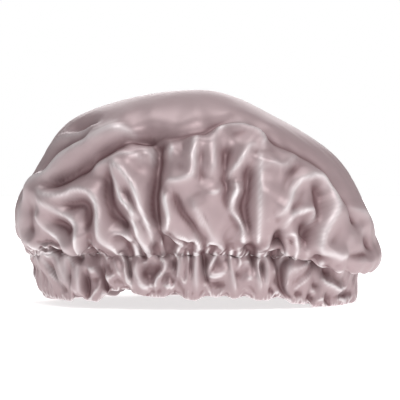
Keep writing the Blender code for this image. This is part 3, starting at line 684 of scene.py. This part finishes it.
def settle(points, drawn, threads, pinned, pull, reach, rounds):
    """Put every thread right in turn, pull each point softly to its drawn place, and cap how far it strays."""
    moved, aim = points.reshape(-1, 3).copy(), drawn.reshape(-1, 3)
    pinned, pull = pinned.reshape(-1), pull.reshape(-1, 1)
    for _ in range(rounds):
        for first, second, length, grip in threads:
            apart = moved[second] - moved[first]
            now = np.sqrt(np.einsum("ij,ij->i", apart, apart)) + 1e-12
            share_each = (0.5 * grip * (now - length) / now)[:, None] * apart
            moved[first] += share_each
            moved[second] -= share_each
        moved += pull * (aim - moved)
        stray = moved - aim
        far = np.linalg.norm(stray, axis=1, keepdims=True)
        moved = aim + stray * np.minimum(1.0, reach / np.maximum(far, 1e-9))
        moved[pinned] = aim[pinned]
    return moved.reshape(points.shape)


FAMILIES = (
    ((1, 0), 1.0),
    ((0, 1), 1.0),
    ((1, 1), 0.25),
    ((1, -1), 0.25),
    ((2, 0), 0.35),
    ((0, 2), 0.35),
    ((4, 0), 0.12),
    ((0, 4), 0.12),
)


def finer(values, shape):
    """A grid of values read at twice as many points each way, by splines."""
    tall = spline(values, np.linspace(0, values.shape[0] - 1, shape[0]))
    return np.swapaxes(spline(np.swapaxes(tall, 0, 1), np.linspace(0, values.shape[1] - 1, shape[1])), 0, 1)


def softened(values, rounds):
    """Values averaged with their four neighbours, several times. The outermost rows and columns stay."""
    values = values.copy()
    for _ in range(rounds):
        around = values[2:, 1:-1] + values[:-2, 1:-1] + values[1:-1, 2:] + values[1:-1, :-2]
        values[1:-1, 1:-1] = 0.5 * values[1:-1, 1:-1] + 0.125 * around
    return values


print("thread families", len(FAMILIES))

# %% [markdown]
# The crown settles twice: first every second point, so that wide buckles form fast, and then all the points
# from that shape. There is far more spare cloth at the seam than higher up, and none up the cloth's length.
# Without the second pass the small folds would look like melted wax.

# %% The settled crown
SPARE_ROUND_SEAM = 0.22
SPARE_ROUND = 0.020
SPARE_UP = 0.010
STRAY = 3.5 * MM


def settled_crown(drawn, climb, quiet, step, start, rounds):
    """Settle every step-th point of the drawn crown, from a start shape of the same points."""
    drawn, climb, quiet = drawn[::step, ::step], climb[::step, ::step], quiet[::step, ::step]
    climbed = climb * CROWN_CLIMB * MM
    below_top = smooth_step(0.95, 0.60, climb)
    spare_round = SPARE_ROUND_SEAM * (1.0 - 0.8 * quiet) * np.exp(-climbed / (14 * MM)) + SPARE_ROUND * below_top
    threads = cloth_threads(drawn, spare_round, SPARE_UP * below_top, climbed, FAMILIES)
    pull = 0.030 + 0.05 * smooth_step(0.6, 1.0, climb)
    return settle(start, drawn, threads, climb < 1e-6, pull, STRAY, rounds)


crown_points = crown_drawn
coarse = crown_drawn[::2, ::2]
bumps = 0.5 * MM * seeded_bumps(coarse.shape[:2], (46, 46), 11)
start = coarse + bumps[..., None] * crown_normals[::2, ::2]
stray = settled_crown(crown_drawn, climb, right_end, 2, start, 260) - coarse
start = crown_drawn + finer(stray, crown_drawn.shape[:2])
crown_points = softened(settled_crown(crown_drawn, climb, right_end, 1, start, 60), 4)
far = np.linalg.norm(crown_points - crown_drawn, axis=-1)
print(f"settled crown: points moved {far.mean() / MM:.2f} mm on average, {far.max() / MM:.2f} at most")


# %% [markdown]
# A grid of points becomes a mesh of four-cornered faces. A grid can be open, or closed round one way.

# %% From grid to mesh
def grid_faces(rows, columns, closed=False):
    """The corner numbers of every cell. In a closed grid the last row and column are joined to the first."""
    numbers = np.arange(rows * columns).reshape(rows, columns)
    if closed:
        numbers = np.pad(numbers, ((0, 1), (0, 1)), mode="wrap")
    return np.stack([numbers[:-1, :-1], numbers[1:, :-1], numbers[1:, 1:], numbers[:-1, 1:]], axis=-1).reshape(-1, 4)


def grid_mesh(name, points, closed=False):
    mesh = bpy.data.meshes.new(name)
    faces = grid_faces(points.shape[0], points.shape[1], closed)
    mesh.vertices.add(points.shape[0] * points.shape[1])
    mesh.vertices.foreach_set("co", points.reshape(-1))
    mesh.loops.add(faces.size)
    mesh.loops.foreach_set("vertex_index", faces.reshape(-1))
    mesh.polygons.add(len(faces))
    mesh.polygons.foreach_set("loop_start", np.arange(0, faces.size, 4))
    mesh.update(calc_edges=True)
    mesh.shade_smooth()
    piece = bpy.data.objects.new(name, mesh)
    bpy.context.scene.collection.objects.link(piece)
    return piece


crown = grid_mesh("crown_cloth", crown_points)
wall = crown.modifiers.new("wall", "SOLIDIFY")
wall.thickness = CLOTH
wall.offset = -1.0
print("crown faces", len(crown.data.polygons))

# %% [markdown]
# The band is the casing: the same cloth folded double round an elastic. Drawn up, it stands in uneven
# pleats, and its lower edge in rounded lobes. It's a tube: one section carried round the oval. Its front is
# drawn like the crown's, as folds on paths, and its lower edge follows a line of points.

# %% The band's surface
BAND_COLUMNS = 1200
BAND_ROWS = 72
HEM_NOTCH = 4.5 * MM
END_RISE = 13 * MM
END_TUCK = 3.6 * MM
BandPoint = namedtuple("BandPoint", "out up pleat")
BAND_SECTION = (
    BandPoint(-0.50, 0.40, 0.2),
    BandPoint(-0.42, 0.12, 0.4),
    BandPoint(-0.12, 0.00, 0.7),
    BandPoint(0.34, 0.02, 1.0),
    BandPoint(0.62, 0.20, 1.2),
    BandPoint(0.64, 0.52, 1.1),
    BandPoint(0.54, 0.90, 1.0),
    BandPoint(0.22, 1.00, 0.8),
    BandPoint(-0.26, 1.00, 0.3),
    BandPoint(-0.48, 0.78, 0.2),
)


def drawn_band(columns, rows):
    """The casing's section carried round the oval, moved out on pleats and folds, and up in the hem's notches.

    The grid starts at the back, inside the band. Its last column and row repeat the first.
    """
    share = 0.25 + np.arange(columns + 1)[:, None] / columns
    closed_section = np.array(BAND_SECTION[-1:] + BAND_SECTION + BAND_SECTION[:2])
    places = 1.0 + len(BAND_SECTION) * np.arange(rows + 1)[None, :] / rows
    out, up, pleat = np.moveaxis(spline(closed_section, places * np.ones_like(share)), -1, 0)
    angle = ring_angle(share)
    cos, sin = np.cos(angle), np.sin(angle)
    front = front_share(share)
    front_hem = smooth_step(-0.45, -0.10, -sin)
    side_hem = rest_relief(share, -BAND_HEIGHT + 0.0 * share, SEAM_LIMIT)
    tuck = END_TUCK * smooth_step(0.70, 1.0, np.abs(cos)) * smooth_step(1.0, 0.5, up)
    reach = out * BAND_THICKNESS - BAND_THICKNESS / 2 - tuck
    x_out = (BAND_WIDTH / 2 + reach) * cos - BAND_SHIFT
    y_out = (BAND_DEPTH / 2 + reach) * sin
    top = seam_height(share)
    notched = band_lift(share) + HEM_NOTCH * smooth_step(-0.2 * MM, 2.6 * MM, -side_hem)
    across, lower = np.array(HEM_LINE, float).T
    seen_hem = np.interp(x_out / MM, across, lower) * MM - y_out * math.tan(CAMERA_RISE)
    hem = notched + front_hem * (np.clip(seen_hem, 0.0, END_RISE) - notched)
    points = np.stack([x_out, y_out, hem + np.clip(up, 0.0, 1.0) * (top - hem)], axis=-1)
    wall = smooth_step(-0.1, 0.3, out)
    shares = share * np.ones_like(out)
    relief = front * front_relief(points, SEAM_LIMIT)
    relief += (1.0 - front) * rest_relief(shares, points[..., 2] - top, SEAM_LIMIT)
    relief *= pleat * wall
    return points + relief[..., None] * band_outward(shares), smooth_step(-0.3, 0.3, out), -relief


band_drawn, band_outside, band_depth = drawn_band(BAND_COLUMNS, BAND_ROWS)
print("drawn band", band_drawn.reshape(-1, 3).min(axis=0).round(4), band_drawn.reshape(-1, 3).max(axis=0).round(4))

# %% [markdown]
# The band settles in the same way. Its inner side stays close to the drawing, because the elastic lies there.

# %% The settled band
BAND_SPARE_ROUND = 0.06
BAND_SPARE_UP = 0.02
BAND_STRAY = 2.6 * MM
BAND_FAMILIES = FAMILIES + (((8, 0), 0.25),)


def settled_band(drawn, outside, step, start, rounds):
    drawn, outside = drawn[::step, ::step], outside[::step, ::step]
    edge = np.zeros(outside.shape, bool)
    edge[[0, -1], :] = edge[:, [0, -1]] = True
    column = np.arange(outside.shape[0])[:, None] * np.ones(outside.shape)
    threads = cloth_threads(drawn, BAND_SPARE_UP * outside, BAND_SPARE_ROUND * outside, column, BAND_FAMILIES)
    pull = 0.015 + 0.3 * (1.0 - outside)
    return settle(start, drawn, threads, edge, pull, BAND_STRAY, rounds)


band_points = band_drawn
coarse = band_drawn[::2, ::2]
bumps = 0.4 * MM * seeded_bumps(coarse.shape[:2], (110, 8), 5) * band_outside[::2, ::2]
away = coarse - coarse.mean(axis=1, keepdims=True)
away /= np.linalg.norm(away, axis=-1, keepdims=True)
start = coarse + bumps[..., None] * away
stray = settled_band(band_drawn, band_outside, 2, start, 200) - coarse
start = band_drawn + finer(stray, band_drawn.shape[:2])
band_points = softened(settled_band(band_drawn, band_outside, 1, start, 40), 3)
band_points[..., 2] = np.maximum(band_points[..., 2], 0.0)
band = grid_mesh("band_cloth", band_points[:-1, :-1], closed=True)
print("band faces", len(band.data.polygons))

# %% [markdown]
# Shader maths reads better as plain sums. This class wraps one output of a node. Its operators add the Math
# nodes for them, and its node method makes every other node: settings first, then the sockets.

# %% A value in a material
class Value:
    def __init__(self, tree, socket):
        self.tree = tree
        self.socket = socket

    def put(self, socket, value):
        if isinstance(value, Value):
            self.tree.links.new(value.socket, socket)
        else:
            socket.default_value = value

    def node(self, kind, output, settings, **sockets):
        """A new node of a kind: its settings are set first, then each socket gets its number or its link."""
        made = self.tree.nodes.new(kind)
        for name, setting in settings.items():
            setattr(made, name, setting)
        for name, value in sockets.items():
            self.put(made.inputs[name.replace("_", " ")], value)
        return Value(self.tree, made.outputs[output])

    def maths(self, operation, *values):
        made = self.tree.nodes.new("ShaderNodeMath")
        made.operation = operation
        for socket, value in zip(made.inputs, values):
            self.put(socket, value)
        return Value(self.tree, made.outputs[0])

    def __add__(self, other):
        return self.maths("ADD", self, other)

    def __sub__(self, other):
        return self.maths("SUBTRACT", self, other)

    def __rsub__(self, other):
        return self.maths("SUBTRACT", other, self)

    def __mul__(self, other):
        return self.maths("MULTIPLY", self, other)

    __radd__ = __add__
    __rmul__ = __mul__


# %% [markdown]
# Satin is woven so that long threads float over the others. They mirror light along a line, so satin has
# broad soft highlights that run along its folds, and between them it looks deep. A plain glossy shader would
# look like plastic. Here the gloss is partly the metal kind, which tints it, and its roughness and a fine
# bump follow streaks that run along the threads, on the cloth's own flat coordinates. Its colour also has
# light and shade painted in: a painted shade in the valleys and a painted highlight along the crests.

# %% Satin, with painted highlight and shade
SATIN = (0.42, 0.31, 0.322, 1.0)
# Painted shade: the darker colour laid into the valleys.
SATIN_PAINTED_SHADE = (0.20, 0.11, 0.118, 1.0)
# Painted highlight: the paler colour laid along the crests.
SATIN_PAINTED_HIGHLIGHT = (0.88, 0.82, 0.83, 1.0)
ROUGHNESS = 0.45
STREAK_LENGTH = 14 * MM
STREAK_WIDTH = 0.5 * MM
PATCH = 22 * MM


def colour_mix(base, factor, first, second):
    """The Mix node for colours: first where the factor is 0, second where it is 1."""
    mixed = base.node("ShaderNodeMix", 2, {"data_type": "RGBA", "clamp_factor": True}, Factor=factor)
    base.put(mixed.socket.node.inputs[6], first)
    base.put(mixed.socket.node.inputs[7], second)
    return mixed


def satin(name):
    """Satin: streaks along the threads and soft patches, which move its roughness, colour and fine bump.

    Its colour has a painted shade in the valleys and a painted highlight along the crests, both read from the mesh.
    """
    material = bpy.data.materials.new(name)
    material.use_nodes = True
    tree = material.node_tree
    shader = tree.nodes["Principled BSDF"]
    shader.inputs["Metallic"].default_value = 0.30
    shader.inputs["Specular IOR Level"].default_value = 0.8
    flat = Value(tree, tree.nodes.new("ShaderNodeUVMap").outputs["UV"])
    threads = (1.0 / STREAK_WIDTH, 1.0 / STREAK_LENGTH, 1.0)
    along = flat.node("ShaderNodeVectorMath", 0, {"operation": "MULTIPLY"}, Vector=flat)
    along.socket.node.inputs[1].default_value = threads
    streak = flat.node("ShaderNodeTexNoise", 0, {}, Vector=along, Scale=1.0, Detail=2.0, Roughness=0.6)
    patch = flat.node("ShaderNodeTexNoise", 0, {}, Vector=flat, Scale=1.0 / PATCH, Detail=3.0, Roughness=0.5)
    # The shares of painted shade and painted highlight, stored on the mesh as attributes.
    painted_shade = flat.node("ShaderNodeAttribute", 2, {"attribute_name": "painted_shade"})
    crest = flat.node("ShaderNodeAttribute", 2, {"attribute_name": "crest"})
    flat.put(shader.inputs["Roughness"], ROUGHNESS - 0.06 + 0.08 * streak + 0.06 * patch)
    # The base colour: painted shade in the valleys, mixed with soft random patches of tone, then painted highlight
    # along the crests.
    body = colour_mix(flat, painted_shade + 0.3 * (patch - 0.5), SATIN, SATIN_PAINTED_SHADE)
    flat.put(shader.inputs["Base Color"], colour_mix(flat, crest, body, SATIN_PAINTED_HIGHLIGHT))
    bump = flat.node("ShaderNodeBump", 0, {}, Strength=0.25, Distance=0.05 * MM, Height=streak)
    flat.put(shader.inputs["Normal"], bump)
    return material


def bend(points, step):
    """How sharply the cloth bends, in 1/m: positive on a crest, negative in a valley.

    It is minus twice the way from a point to the mean of its four neighbours, along the normal, over the mean
    square of their distances.
    """
    centre = points[step:-step, step:-step]
    around = [points[2 * step :, step:-step], points[: -2 * step, step:-step]]
    around += [points[step:-step, 2 * step :], points[step:-step, : -2 * step]]
    away = np.stack(around) - centre
    normals = grid_normals(points)[step:-step, step:-step]
    value = -2.0 * (away.mean(axis=0) * normals).sum(axis=-1) / (away**2).sum(axis=-1).mean(axis=0)
    return np.pad(value, step, mode="edge")


# How sharply the cloth bends where the painted highlight and the painted shade start and become full.
PAINTED_HIGHLIGHT_BEND = (80.0, 320.0)
PAINTED_SHADE_BEND = (30.0, 280.0)


def painted_highlight_and_shade(points, step, depth):
    """Two shares for each point, from its bends and its depth: painted highlight on a crest, and painted shade in a
    valley.
    """
    fine, broad = softened(bend(points, step), 1), softened(bend(points, 3 * step), 3)
    crest = smooth_step(*PAINTED_HIGHLIGHT_BEND, fine)
    painted_shade = 0.4 * smooth_step(*PAINTED_SHADE_BEND, -fine) + 0.6 * smooth_step(5.0, 90.0, -broad)
    painted_shade += 0.5 * smooth_step(0.0, 7.0 * MM, depth)
    return crest, np.clip(painted_shade, 0.0, 1.0)


PAINTED_LINE_WIDTH = 1.05
PAINTED_LINE_HEIGHT = 4.0 * MM


def painted_fold_lines(points, sign):
    """Narrow lines painted along the front's folds, as shares from 0 to 1: painted highlight on the ridges for sign
    1, painted shade in the valleys for sign -1.
    """
    sharp = [fold for fold in FRONT_FOLDS + BAND_FOLDS if sign * fold.height > 2.0]
    narrow = [fold._replace(left=PAINTED_LINE_WIDTH, right=PAINTED_LINE_WIDTH) for fold in sharp]
    heights = fold_heights(seen_from_front(points).reshape(-1, 2), narrow).reshape(points.shape[:-1])
    return np.clip(sign * heights / PAINTED_LINE_HEIGHT, 0.0, 1.0)


def dress(piece, material, flat, crest, painted_shade):
    """Give a piece its material, its flat coordinates in metres as a UV map, and its shares of painted highlight on
    the crests and painted shade in the hollows.
    """
    mesh = piece.data
    corner = np.zeros(len(mesh.loops), int)
    mesh.loops.foreach_get("vertex_index", corner)
    mesh.uv_layers.new(name="flat").data.foreach_set("uv", flat.reshape(-1, 2)[corner].reshape(-1))
    mesh.attributes.new("crest", "FLOAT", "POINT").data.foreach_set("value", crest.reshape(-1))
    mesh.attributes.new("painted_shade", "FLOAT", "POINT").data.foreach_set("value", painted_shade.reshape(-1))
    mesh.materials.append(material)
    print(piece.name, f"crest {crest.mean():.2f}, hollow {painted_shade.mean():.2f} on average")


turn = 2.0 * math.pi * share
crown_flat = CUT_CIRCLE / 2 * ((1.0 - climb) * np.stack([np.cos(turn), np.sin(turn)])).transpose(1, 2, 0)
# The crown's painted highlight along its crests and painted shade in its valleys, from its bends, its depth and the
# narrow painted fold lines.
crown_depth = ((crown_smooth - crown_points) * crown_normals).sum(axis=-1)
crown_painted_highlight, crown_painted_shade = painted_highlight_and_shade(crown_points, 1, crown_depth)
crown_painted_highlight = np.maximum(crown_painted_highlight, 0.62 * facing_front * painted_fold_lines(crown_smooth, 1.0))
crown_painted_shade = np.maximum(crown_painted_shade, 0.80 * facing_front * painted_fold_lines(crown_smooth, -1.0))
dress(crown, satin("crown_satin_painted_light"), crown_flat, crown_painted_highlight, crown_painted_shade)
BAND_FLAT = (1.2, 0.075)
band_around = np.linspace(0.0, BAND_FLAT[0], BAND_COLUMNS + 1)[:-1, None] * np.ones(BAND_ROWS)
band_across = np.linspace(0.0, BAND_FLAT[1], BAND_ROWS + 1)[None, :-1] * np.ones((BAND_COLUMNS, 1))
# The band's painted highlight and painted shade, found the same way.
band_painted_highlight, band_painted_shade = painted_highlight_and_shade(band_points, 1, band_depth)
band_front = band_outside * front_share(0.25 + np.arange(BAND_COLUMNS + 1)[:, None] / BAND_COLUMNS)
band_painted_highlight = np.maximum(0.8 * band_painted_highlight, 0.66 * band_front * painted_fold_lines(band_drawn, 1.0))
band_painted_shade = np.maximum(band_painted_shade, 0.85 * band_front * painted_fold_lines(band_drawn, -1.0))
dress(band, satin("band_satin_painted_light"), np.stack([band_across, band_around], axis=-1),
      band_painted_highlight[:-1, :-1], band_painted_shade[:-1, :-1])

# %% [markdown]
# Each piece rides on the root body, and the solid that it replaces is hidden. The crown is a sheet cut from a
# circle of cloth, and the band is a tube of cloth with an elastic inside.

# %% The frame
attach(crown, "root")
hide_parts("crown")
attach(band, "root")
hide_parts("band")
print("pieces in the frame:", crown.name, band.name)

# %% [markdown]
# The floor and the world are plain and pale. The floor glows a little, as a lit table does, so it meets the
# background without a line. The world shows white behind the bonnet, but lights it with less than that, or
# the folds would lose their shadows.

# %% Floor and world
FLOOR_SIZE = 1.3
FLOOR_GLOW = 0.68
BACKGROUND = 1.0
WORLD_LIGHT = 0.24


def pale_floor(half, glow):
    mesh = bpy.data.meshes.new("floor")
    mesh.from_pydata([(-half, -half, 0), (half, -half, 0), (half, half, 0), (-half, half, 0)], [], [(0, 1, 2, 3)])
    piece = bpy.data.objects.new("floor", mesh)
    bpy.context.scene.collection.objects.link(piece)
    material = bpy.data.materials.new("floor_pale")
    material.use_nodes = True
    shader = material.node_tree.nodes["Principled BSDF"]
    shader.inputs["Base Color"].default_value = (0.86, 0.86, 0.86, 1.0)
    shader.inputs["Roughness"].default_value = 0.9
    shader.inputs["Emission Color"].default_value = (1.0, 1.0, 1.0, 1.0)
    shader.inputs["Emission Strength"].default_value = glow
    mesh.materials.append(material)
    return piece


floor = pale_floor(FLOOR_SIZE, FLOOR_GLOW)
world = bpy.data.worlds.new("world")
world.use_nodes = True
background = world.node_tree.nodes["Background"]
background.inputs["Color"].default_value = (1.0, 1.0, 1.0, 1.0)
seen = Value(world.node_tree, world.node_tree.nodes.new("ShaderNodeLightPath").outputs["Is Camera Ray"])
seen.put(background.inputs["Strength"], WORLD_LIGHT + (BACKGROUND - WORLD_LIGHT) * seen)
bpy.context.scene.world = world
bpy.context.scene.view_settings.view_transform = "Standard"
print("floor", floor.name, "and world")

# %% [markdown]
# Satin needs lights with edges: a broad one above and in front for the upper slopes of the folds, and two
# tall narrow ones at the sides, whose reflections run down the folds as thin bright lines.

# %% Lights
def soft_light(name, place, size, power):
    data = bpy.data.lights.new(name, "AREA")
    data.shape = "RECTANGLE"
    data.size, data.size_y = size
    data.energy = power
    light = bpy.data.objects.new(name, data)
    light.location = place
    light.rotation_euler = (AIM - Vector(place)).to_track_quat("-Z", "Y").to_euler()
    bpy.context.scene.collection.objects.link(light)
    print(name, f"{power:.0f} W")


soft_light("key", (0.35, -1.05, 1.20), (0.80, 0.50), 10.5)
soft_light("left_strip", (-1.25, -0.75, 0.45), (0.20, 0.80), 0.6)
soft_light("right_strip", (1.25, -0.65, 0.50), (0.20, 0.80), 3.0)
soft_light("top", (0.0, 0.35, 1.40), (1.00, 0.50), 6.0)
soft_light("back", (0.0, 1.60, 0.55), (0.90, 0.50), 5.0)
